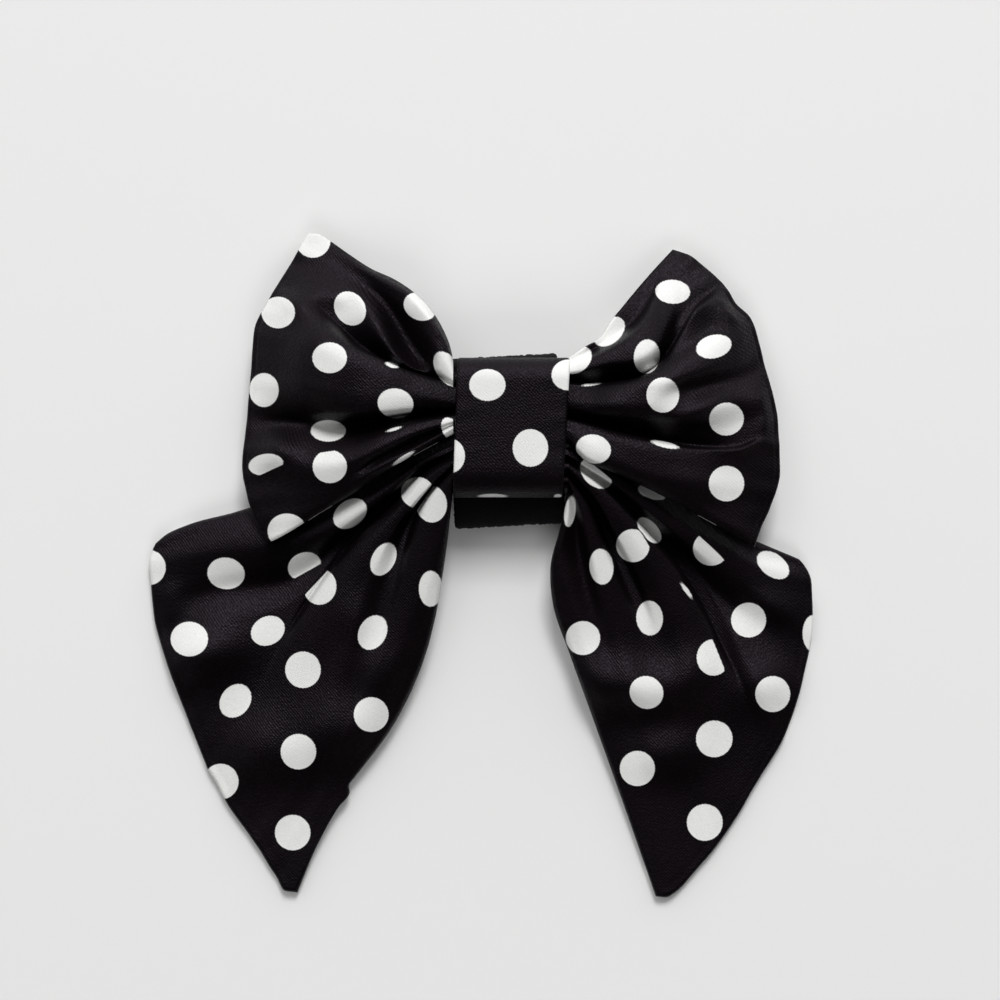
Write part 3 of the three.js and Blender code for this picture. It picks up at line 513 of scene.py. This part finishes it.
class Nodes:
    """The nodes of a material or of the world, with a short call for each kind that is used here."""

    def __init__(self, tree):
        self.nodes = tree.nodes
        self.links = tree.links

    def give(self, value, socket):
        """Links a node's output to the socket, or sets a number or a colour on it."""
        if isinstance(value, bpy.types.NodeSocket):
            self.links.new(value, socket)
        elif isinstance(value, tuple):
            socket.default_value = (*value, 1)
        else:
            socket.default_value = value

    def math(self, operation, *values, clamp=False):
        node = self.nodes.new("ShaderNodeMath")
        node.operation = operation
        node.use_clamp = clamp
        for socket, value in zip(node.inputs, values):
            self.give(value, socket)
        return node.outputs[0]

    def add(self, a, b, clamp=False):
        return self.math("ADD", a, b, clamp=clamp)

    def times(self, a, b):
        return self.math("MULTIPLY", a, b)

    def map_range(self, value, low, high, to_low, to_high, smooth=False):
        node = self.nodes.new("ShaderNodeMapRange")
        node.interpolation_type = "SMOOTHSTEP" if smooth else "LINEAR"
        self.give(value, node.inputs["Value"])
        for key, number in zip(("From Min", "From Max", "To Min", "To Max"), (low, high, to_low, to_high)):
            node.inputs[key].default_value = number
        return node.outputs["Result"]

    def mix_colour(self, factor, a, b):
        node = self.nodes.new("ShaderNodeMix")
        node.data_type = "RGBA"
        for key, value in (("Factor", factor), ("A", a), ("B", b)):
            self.give(value, node.inputs[key])
        return node.outputs["Result"]

    def noise(self, vector, scale, detail):
        node = self.nodes.new("ShaderNodeTexNoise")
        node.inputs["Scale"].default_value = scale
        node.inputs["Detail"].default_value = detail
        self.give(vector, node.inputs["Vector"])
        return node.outputs["Fac"]

    def attribute(self, name):
        node = self.nodes.new("ShaderNodeAttribute")
        node.attribute_name = name
        return node.outputs

    def place(self, kind):
        return self.nodes.new("ShaderNodeTexCoord").outputs[kind]

    def split(self, vector):
        node = self.nodes.new("ShaderNodeSeparateXYZ")
        self.give(vector, node.inputs[0])
        return node.outputs

    def surface(self, colour, roughness, relief, strength, depth):
        """Gives the shader its colour, roughness and bump. depth is the bump's, in metres."""
        shader = self.nodes["Principled BSDF"]
        self.give(colour, shader.inputs["Base Color"])
        self.give(roughness, shader.inputs["Roughness"])
        bump = self.nodes.new("ShaderNodeBump")
        bump.inputs["Strength"].default_value = strength
        bump.inputs["Distance"].default_value = depth
        self.give(relief, bump.inputs["Height"])
        self.give(bump.outputs["Normal"], shader.inputs["Normal"])
        return shader


def new_material(name):
    material = bpy.data.materials.new(name)
    material.use_nodes = True
    return material, Nodes(material.node_tree)


def sateen(name, dotted):
    """Black sateen with a fine diagonal weave. The attribute cloth holds millimetres along the cloth, and
    dots the distance outside the nearest printed dot."""
    material, nodes = new_material(name)
    cloth = nodes.attribute("cloth")["Vector"]
    x, y, z = nodes.split(cloth)
    wander = nodes.noise(cloth, scale=0.35, detail=2.0)
    diagonal = nodes.add(nodes.add(nodes.add(x, y), z), nodes.times(wander, 0.5))
    wale = nodes.math("SINE", nodes.times(diagonal, 2 * math.pi / (TWILL_PITCH * math.sqrt(2))))
    yarn = nodes.noise(cloth, scale=2.0, detail=2.0)
    patch = nodes.noise(cloth, scale=0.06, detail=3.0)
    relief = nodes.add(nodes.times(wale, WALE_RELIEF), nodes.times(yarn, YARN_RELIEF))
    tone = nodes.map_range(nodes.add(yarn, patch), 0.75, 1.25, 0.0, 1.0)
    tone = nodes.add(tone, nodes.times(wale, 0.12), clamp=True)
    colour = nodes.mix_colour(tone, BLACK, BLACK_WORN)
    weave = nodes.add(nodes.times(wale, 0.04), yarn)
    rough = nodes.map_range(weave, 0.34, 0.72, 0.6, 0.34)
    if dotted:
        edge = nodes.add(nodes.attribute("dots")["Fac"], nodes.times(wale, 0.03))
        printed = nodes.map_range(edge, -0.12, 0.1, 1.0, 0.0, smooth=True)
        colour = nodes.mix_colour(printed, colour, nodes.mix_colour(tone, WHITE, WHITE_SHADE))
        relief = nodes.times(relief, nodes.map_range(printed, 0.0, 1.0, 1.0, PRINT_RELIEF))
        rough = nodes.add(rough, nodes.map_range(printed, 0.0, 1.0, 0.0, PRINT_MATT))
    shader = nodes.surface(colour, rough, relief, strength=0.6, depth=0.00007)
    shader.inputs["Specular IOR Level"].default_value = 0.16
    shader.inputs["Specular Tint"].default_value = (0.95, 0.82, 1, 1)
    return material


def tape_material():
    """Black hook-and-loop tape: a matt, brushed pile."""
    material, nodes = new_material("strap_tape")
    place = nodes.place("Object")
    pile = nodes.noise(place, scale=2600.0, detail=4.0)
    weave = nodes.noise(place, scale=500.0, detail=2.0)
    colour = nodes.mix_colour(pile, TAPE_BLACK, TAPE_PILE)
    rough = nodes.map_range(weave, 0.0, 1.0, 0.86, 1.0)
    shader = nodes.surface(colour, rough, nodes.add(pile, weave), strength=0.8, depth=0.0002)
    shader.inputs["Specular IOR Level"].default_value = 0.15
    return material


dotted_sateen = sateen("dotted_sateen", True)
plain_sateen = sateen("sateen_inside", False)
strap_tape = tape_material()

# The waist, where the knot gathers the cloth.

KNOT_WALL = 1.3
KNOT_TOP_CORNER = 5.5
KNOT_LOW_CORNER = 9.5
KNOT_BACK_CORNER = 4.6
KNOT_CLEARANCE = 0.3  # between the gathers and the knot's inner face
KNOT_CROWN = 0.25

knot_low, knot_high = (np.array(corner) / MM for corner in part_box("knot_band"))
knot_front = knot_high[2] - 0.2  # the height of the front below its crown


def waist_rows(row, side, places):
    """The gathered cloth inside the knot band, carried on from the row where it leaves the band."""
    y, z = row[:, 1], row[:, 2]
    inside = KNOT_WALL + KNOT_CLEARANCE
    y = np.clip(y, knot_low[1] + inside, knot_high[1] - inside)
    for corner, past in (
        (KNOT_TOP_CORNER, y - (knot_high[1] - KNOT_TOP_CORNER)),
        (KNOT_LOW_CORNER, knot_low[1] + KNOT_LOW_CORNER - y),
    ):
        reach = np.sqrt(np.clip((corner - inside) ** 2 - np.clip(past, 0, None) ** 2, 0, None))
        z = np.where(past > 0, np.minimum(z, knot_front - corner + reach), z)
    z = np.minimum(z, knot_front - inside)
    return np.array([np.stack([np.full(len(y), side * x), y, z], axis=1) for x in places])


# Loops.

BACK_STATIONS = np.array([0, 0.33, 0.72, 1.0])  # shares of the way from the knot to the rim
BACK_AT_TOP = np.array([11.2, 6.8, 2.6, 0.4])  # the back wall's height there, along its top edge
BACK_AT_BOTTOM = np.array([15.0, 12.8, 10.2, 6.6])  # and along its bottom edge, over the tail
BACK_RIPPLE = 0.7
BACK_LIFT = 2.6  # how far the back wall's top corner is lifted where it meets the knot
LOOP_AIR = 0.5  # between the walls at the knot, and what is lost of it on the way to the rim
LOOP_AIR_LOST = 0.15
LOOP_ROWS = 120
LOOP_SPACING = 0.75  # the most between two columns of points


def loop_back(front, along, share):
    """The back wall, from the knot to the rim: down to the table at the top, over the tails below."""
    low = smoothstep(share, 0.35, 0.85)
    top = cubic_through(BACK_STATIONS, BACK_AT_TOP, along)
    bottom = cubic_through(BACK_STATIONS, BACK_AT_BOTTOM, along)
    along = along[:, None]
    midway = np.sin(math.pi * along)  # 0 at the knot and at the rim
    own = top * (1 - low) + bottom * low
    own = own + BACK_RIPPLE * np.sin(share * 19 + 1.0) * midway * (1 - low)
    own = own + BACK_LIFT * (1 - smoothstep(share, 0, 0.12)) * (1 - along) ** 2
    air = LOOP_AIR - LOOP_AIR_LOST * along
    highest = front[..., 2] - 2 * LOOP_WALL - air
    height = soft_min(own, highest, 0.1 + 1.3 * midway)
    height[-1] = highest[-1]
    straight = front[:, :1] + (front[:, -1:] - front[:, :1]) * share[None, :, None]
    keep = (1 - np.clip(midway, 0, 1) ** 0.5)[..., None]
    plan = straight[..., :2] * (1 - keep) + front[..., :2] * keep
    plan[-1] = front[-1, :, :2]
    return np.concatenate([plan, height[..., None]], axis=2)


def pucker(grid, along, period, depth, reach):
    """Small ripples of the cloth where it turns round the rim: two waves, one finer than the other."""
    turns = lengths(grid[-1]) * 2 * math.pi
    wave = np.sin(turns / period) + 0.6 * np.sin(turns / (period * 0.43) + 1.7)
    from_rim = (1 - along)[:, None] * LOBE_LENGTH
    return depth * wave * np.exp(-from_rim / reach)


def roll_over(grid, reach, drop):
    """How far the cloth has bent down within reach of the rim."""
    left = lengths(grid)
    left = left[-1:] - left
    turn = 1 - np.clip(left / reach, 0, 1)
    return drop * (1 - np.sqrt(1 - ROUNDNESS * turn**2))


def rim_nose(front, back):
    """Rows round the fold at the rim, from the front to the back."""
    out = front[-1, :, :2] - front[NEAR_RIM, :, :2]
    out /= np.linalg.norm(out, axis=1)[:, None]
    middle = (front[-1, :, 2] + back[-1, :, 2]) / 2
    half = (front[-1, :, 2] - back[-1, :, 2]) / 2
    rows = []
    for angle in np.linspace(math.pi / 2, -math.pi / 2, 9)[1:-1]:
        plan = front[-1, :, :2] + RIM_NOSE * math.cos(angle) * out
        rows.append(np.concatenate([plan, (middle + half * math.sin(angle))[:, None]], axis=1))
    return np.array(rows)


def loop_piece(name, side, folds, rim, dots, bumps):
    """One cloth that goes out over the front, round the rim and back to the knot behind it."""
    along = np.linspace(0, 1, LOOP_ROWS) ** 1.05
    front, share = front_grid(side, folds, rim, along, LOOP_SPACING, inset=RIM_NOSE)
    front[..., 2] += bumps_at(front, bumps)
    front[..., 2] += pucker(front, along, period=13.0, depth=0.25, reach=9.0)
    front[..., 2] -= roll_over(front, reach=0.9, drop=0.35)
    back = loop_back(front, along, share)
    nose = rim_nose(front, back)
    waist = waist_rows(front[0], side, WAIST_PLACES)
    waist_back = waist_rows(back[0], side, WAIST_PLACES[::-1])
    rows = np.concatenate([waist, front, nose, back[-1:], back[-2::-2], waist_back])
    u = lengths(rows, 0)
    v = lengths(rows, 1)
    u = u - u[len(waist) + len(front)]
    v = v - v[:, v.shape[1] // 2][:, None]
    first = len(waist)
    last = first + len(front) + len(nose) // 2
    distance = lattice_distance(u, v)
    distance[:first] = NO_DOT
    distance[first:last] = dot_distance(rows[first:last], dots)
    faces = grid_faces(rows.shape[0], rows.shape[1], side < 0)
    piece = mesh_piece(name, rows, faces, [dotted_sateen, plain_sateen], distance, rows * WEAVE_SCALE)
    wall = piece.modifiers.new("wall", "SOLIDIFY")
    wall.thickness = LOOP_WALL * MM
    wall.offset = -1
    wall.material_offset = 1
    wall.material_offset_rim = 0
    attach(piece, "root")
    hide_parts("bow_body")
    return piece


left_loop = loop_piece("left_loop", -1, LEFT_LOOP, LEFT_LOOP_RIM, LEFT_LOOP_DOTS, LEFT_LOOP_BUMPS)
right_loop = loop_piece("right_loop", 1, RIGHT_LOOP, RIGHT_LOOP_RIM, RIGHT_LOOP_DOTS, RIGHT_LOOP_BUMPS)

# Tails.

EDGE_ROUND = 0.55  # how far in from its sewn edge a tail is rounded
SEAM_PLACE = 2.6  # how far in the stitches pull the cloth down, how wide and how deep
SEAM_WIDTH = 0.7
SEAM_DEPTH = 0.07
TAIL_LOWEST = 0.02  # the underside stays this much above the table
UNDERSIDE_SHIFT = 5.0  # of the dots on the underside, along the tail
TAIL_ROWS = 190
TAIL_SPACING = 0.8


def tail_faces(rows, columns, pick, flip):
    """The upper side, the lower side and the walls round the edge. The lower side's points come after the
    upper side's, and pick gives the upper column that each of its columns lies under."""
    below = rows * columns
    low_columns = len(pick)
    faces = grid_faces(rows, columns, flip)
    faces += grid_faces(rows, low_columns, not flip, first=below)
    for r in range(rows - 1):
        up, next_up = r * columns, (r + 1) * columns
        low, next_low = below + r * low_columns, below + (r + 1) * low_columns
        far, low_far = columns - 1, low_columns - 1
        for corners in (
            [up, next_up, next_low, low],
            [up + far, low + low_far, next_low + low_far, next_up + far],
        ):
            faces.append(corners[::-1] if flip else corners)
    for r, at_rim in ((0, False), (rows - 1, True)):
        for k in range(low_columns - 1):
            low = below + r * low_columns + k
            corners = [r * columns + pick[k], low, low + 1]
            corners += [r * columns + c for c in range(pick[k + 1], pick[k], -1)]
            faces.append(corners if at_rim == flip else corners[::-1])
    return faces


def tail_piece(name, side, folds, rim, dots, bumps):
    """Two layers of cloth sewn together round the edge, as one thick sheet."""
    along = np.linspace(0, 1, TAIL_ROWS) ** 1.04
    top, _ = front_grid(side, folds, rim, along, TAIL_SPACING, inset=0)
    top[..., 2] += bumps_at(top, bumps)
    top[..., 2] += pucker(top, along, period=15.0, depth=0.12, reach=6.0)
    distance = dot_distance(top, dots)
    waist = waist_rows(top[0], side, WAIST_PLACES)
    top = np.concatenate([waist, top])
    distance = np.concatenate([np.full(waist.shape[:2], NO_DOT), distance])
    u = lengths(top, 0)
    v = lengths(top, 1)
    v = v - v[:, v.shape[1] // 2][:, None]
    from_side = np.minimum(v - v[:, :1], v[:, -1:] - v)
    from_edge = np.minimum(from_side, u[-1:] - u)
    turn = 1 - np.clip(from_edge / EDGE_ROUND, 0, 1)
    round_over = 0.5 * TAIL_WALL * (1 - np.sqrt(np.clip(1 - turn**2, 0, 1))) * ROUNDNESS
    seam = SEAM_DEPTH * np.exp(-(((from_edge - SEAM_PLACE) / SEAM_WIDTH) ** 2))
    upper = top.copy()
    upper[..., 2] += -round_over - seam
    lower = top.copy()
    lower[..., 2] = np.maximum(top[..., 2] - TAIL_WALL + round_over, TAIL_LOWEST)
    rows, columns = upper.shape[:2]
    pick = [min(c, columns - 1) for c in range(0, columns + 1, 2)]
    points = np.concatenate([upper.reshape(-1, 3), lower[:, pick].reshape(-1, 3)])
    faces = tail_faces(rows, columns, pick, side < 0)
    lower_distance = lattice_distance(u[:, pick] + UNDERSIDE_SHIFT, v[:, pick])
    distance = np.concatenate([distance.ravel(), lower_distance.ravel()])
    piece = mesh_piece(name, points, faces, [dotted_sateen], distance, points * WEAVE_SCALE)
    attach(piece, "root")
    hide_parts("tails")
    return piece


left_tail = tail_piece("left_tail", -1, LEFT_TAIL, LEFT_TAIL_RIM, LEFT_TAIL_DOTS, LEFT_TAIL_BUMPS)
right_tail = tail_piece("right_tail", 1, RIGHT_TAIL, RIGHT_TAIL_RIM, RIGHT_TAIL_DOTS, RIGHT_TAIL_BUMPS)

# Bands: the knot and the strap. The line of a band has rows (y, z, way out in y, way out in z).


def arc(y, z, radius, start, end, steps):
    """Rows round a centre, between two angles in radians."""
    angles = np.linspace(start, end, steps)
    way = np.stack([np.cos(angles), np.sin(angles)], axis=1)
    return np.concatenate([(y, z) + radius * way, way], axis=1)


def level_run(places, z, way):
    """Rows at one height, at these places in y."""
    return np.array([(y, z, 0.0, way) for y in places])


def evenly(line, spacing, closed):
    """The line in even steps, and the length along it at each."""
    run = lengths(line[:, :2])
    at = np.linspace(0, run[-1], int(run[-1] / spacing), endpoint=not closed)
    line = np.stack([np.interp(at, run, column) for column in line.T], axis=1)
    line[:, 2:] /= np.linalg.norm(line[:, 2:], axis=1)[:, None]
    return line, at


def flat_section(columns, steps):
    """Once round a flat band: the share of its half width, and the turn from its face, 0, to its back."""
    across = np.linspace(-1, 1, columns)
    edge = np.linspace(0, math.pi, steps)[1:-1]
    section = [(s, 0.0) for s in across]
    section += [(1.0, turn) for turn in edge]
    section += [(s, math.pi) for s in across[::-1]]
    section += [(-1.0, turn) for turn in edge[::-1]]
    return np.array(section).T


KNOT_STEP = 0.6  # between the points round the ring
KNOT_REACH = 16.0  # from the knot's middle to its top, where its lean and its flare are measured
KNOT_MIDDLE = 0.04
KNOT_LEAN = 0.68
KNOT_HALF_WIDTH = 12.88
KNOT_FLARE = 0.18


def knot_ring():
    """Once round the knot, from the bottom of its back."""
    low, high = knot_low[2], knot_front
    bottom, top = knot_low[1], knot_high[1]
    corners = [
        (bottom + KNOT_BACK_CORNER, low + KNOT_BACK_CORNER, KNOT_BACK_CORNER, -math.pi),
        (bottom + KNOT_LOW_CORNER, high - KNOT_LOW_CORNER, KNOT_LOW_CORNER, -1.5 * math.pi),
        (top - KNOT_TOP_CORNER, high - KNOT_TOP_CORNER, KNOT_TOP_CORNER, 0.0),
        (top - KNOT_BACK_CORNER, low + KNOT_BACK_CORNER, KNOT_BACK_CORNER, -0.5 * math.pi),
    ]
    line = [arc(y, z, radius, start + 0.5 * math.pi, start, 18) for y, z, radius, start in corners]
    return np.concatenate([*line, line[0][:1]])


def knot_side(y):
    """Middle and half width of the band: it sits askew, and it is a little wider at its top."""
    up = y / KNOT_REACH
    return KNOT_MIDDLE + KNOT_LEAN * up, KNOT_HALF_WIDTH + KNOT_FLARE * up


def knot_shape(s, y, z):
    """How far the front is crowned and slack at its side edges, and its lower edge fuller than an arc."""
    front = smoothstep(z, knot_high[2] - 6.0, knot_high[2] - 0.3)
    crown = KNOT_CROWN * (1 - s * s)
    ripple = 0.05 * np.sin(y * 0.55 + 1.2 * s) + 0.04 * np.sin(y * 1.3 - 2.1 * s + 1.0)
    below = np.maximum(knot_low[1] + KNOT_LOW_CORNER - y, 0)
    above = np.maximum(z - (knot_front - KNOT_LOW_CORNER), 0)
    fuller = 1.2 * (2 * below * above / (below**2 + above**2 + 1e-9)) ** 2
    return front * (crown + ripple * smoothstep(np.abs(s), 0.2, 1.0)) + fuller


def knot_piece():
    """A closed ring of cloth, folded over at both its side edges."""
    line, run = evenly(knot_ring(), KNOT_STEP, closed=True)
    y, z, way_y, way_z = line.T[..., None]
    s, turn = flat_section(48, 8)
    middle, half = knot_side(y)
    x = middle + s * (half - KNOT_WALL / 2) + np.copysign(KNOT_WALL / 2 * np.sin(turn), s)
    lift = knot_shape(s, y, z) - KNOT_WALL / 2 * (1 - np.cos(turn))
    points = np.stack([x, y + way_y * lift, z + way_z * lift], axis=-1)
    front = points[..., 2] > (knot_low[2] + knot_high[2]) / 2
    distance = np.where(front, dot_distance(points, KNOT_DOTS), NO_DOT)
    cloth = np.stack([x, run[:, None] + 0 * x, 0 * x], axis=-1)
    faces = grid_faces(len(line), len(s), True, round_rows=True, round_columns=True)
    return mesh_piece("knot", points, faces, [dotted_sateen], distance, cloth)


knot = knot_piece()
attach(knot, "root")
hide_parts("knot_band")

TAPE = 1.2
LAP_GAP = 0.3  # between the outer end of the tape and the turn under it
LAP = 17.0
STRAP_INSET = 0.4  # how far the strap stays inside its solid at the top and the bottom
STRAP_TURN = math.radians(3.1)  # its right side up the picture
STRAP_SLACK = 0.5  # the worn tape is this much wider on each side, and lies this much to the left
EDGE_PILE = 0.35  # how far the pile stands out at the side edges and on the face
FACE_PILE = 0.3
PILE_FROM = 2.0  # the face has pile only above this height, where it can be seen
PILE_SEED = 7
STRAP_STEP = 0.36  # between the points along the tape


def strap_piece():
    """One tape, from its lapped outer end round the top, down the front, round the bottom and up inside."""
    low, high = (np.array(corner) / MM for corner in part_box("collar_strap"))
    back = TAPE + LAP_GAP
    top_round = high[2] / 2
    bottom_round = (high[2] - back) / 2
    top = high[1] - STRAP_INSET - top_round
    bottom = low[1] + STRAP_INSET + bottom_round
    level = back + bottom_round
    quarter = 0.5 * math.pi
    line = [
        level_run(np.linspace(top - LAP, top, 24, endpoint=False), 0.0, -1.0),
        arc(top, top_round, top_round, -quarter, quarter, 26),
        level_run(np.linspace(top, bottom, 30)[1:-1], high[2], 1.0),
        arc(bottom, level, bottom_round, quarter, 3 * quarter, 26),
        level_run(np.linspace(bottom, top - LAP_GAP, 40)[1:], back, -1.0),
    ]
    line, _ = evenly(np.concatenate(line), STRAP_STEP, closed=False)
    y, z, way_y, way_z = line.T[..., None]
    half = (high[0] - low[0]) / 2 + STRAP_SLACK
    s, turn = flat_section(64, 5)
    edge = np.abs(np.sin(turn))
    pile = np.random.default_rng(PILE_SEED).random((len(line), len(s))) ** 3
    x = s * (half - TAPE / 2) + np.copysign((TAPE / 2 + EDGE_PILE * pile) * edge, s)
    brushed = (turn == 0) & (z > PILE_FROM) & (z < level)
    depth = np.where(brushed, FACE_PILE * pile * (1 - edge), 0) - TAPE / 2 * (1 - np.cos(turn))
    y = y + way_y * depth
    z = z + way_z * depth
    up = y - (top + bottom) / 2
    y = y + up * (math.cos(STRAP_TURN) - 1) + x * math.sin(STRAP_TURN)
    x = x * math.cos(STRAP_TURN) - up * math.sin(STRAP_TURN) + (high[0] + low[0]) / 2 - STRAP_SLACK
    count, width = x.shape
    faces = grid_faces(count, width, False, round_columns=True)
    faces.append(list(range(width))[::-1])
    faces.append(list(range((count - 1) * width, count * width)))
    return mesh_piece("strap", np.stack([x, y, z], axis=-1), faces, [strap_tape])


strap = strap_piece()
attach(strap, "root")
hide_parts("collar_strap")

# Floor, lights and camera, in metres.

SPREAD = 3.0
FLOOR_DROP = 0.0003  # keeps the floor clear of the cloth that lies on it
FLOOR_COLOUR = (0.9, 0.9, 0.895, 1)
LIGHTS_AIM = np.array([0.0, -0.015, 0.0])
WORLD_LOW = 0.02  # the light from the sides and the bottom of the picture, and from far past its top
WORLD_HIGH = 1.05

floor_mesh = bpy.data.meshes.new("floor")
corners = [(-SPREAD, -SPREAD, 0), (SPREAD, -SPREAD, 0), (SPREAD, SPREAD, 0), (-SPREAD, SPREAD, 0)]
floor_mesh.from_pydata(corners, [], [(0, 1, 2, 3)])
floor = new_object("floor", floor_mesh)
floor.location = (0, 0, -FLOOR_DROP)
floor_material, floor_nodes = new_material("floor")
floor_shader = floor_nodes.nodes["Principled BSDF"]
floor_shader.inputs["Base Color"].default_value = FLOOR_COLOUR
floor_shader.inputs["Roughness"].default_value = 0.6
floor_mesh.materials.append(floor_material)


def area_light(name, place, size, power):
    data = bpy.data.lights.new(name, "AREA")
    data.size = size
    data.energy = power
    light = new_object(name, data)
    light.location = place
    way = LIGHTS_AIM - place
    way /= np.linalg.norm(way)
    light.rotation_euler = (math.acos(-way[2]), 0, math.atan2(-way[0], way[1]))
    return light


area_light("key", place=(0.3, 2.2, 2.5), size=1.0, power=66.0)
area_light("fill", place=(-1.6, 0.8, 2.6), size=1.6, power=8.0)
bounce = area_light("bounce", place=(0.2, -2.2, 2.4), size=1.6, power=20.0)
bounce.visible_glossy = False  # it lifts the shade on the dots and leaves the black cloth its depth

world = bpy.data.worlds.new("studio")
world.use_nodes = True
sky = Nodes(world.node_tree)
up_the_picture = sky.split(sky.place("Generated"))["Y"]
strength = sky.map_range(up_the_picture, 0.0, 0.85, WORLD_LOW, WORLD_HIGH, smooth=True)
background = sky.nodes["Background"]
background.inputs["Color"].default_value = (1, 1, 1, 1)
sky.give(strength, background.inputs["Strength"])
bpy.context.scene.world = world
bpy.context.scene.view_settings.view_transform = "Standard"

camera_data = bpy.data.cameras.new("camera")
camera_data.sensor_width = SENSOR
camera_data.sensor_fit = "HORIZONTAL"
camera_data.lens = SENSOR * FOCAL / FRAME
camera = new_object("camera", camera_data)
camera.location = (CAMERA_X * MM, CAMERA_Y * MM, CAMERA_HEIGHT * MM)
bpy.context.scene.camera = camera
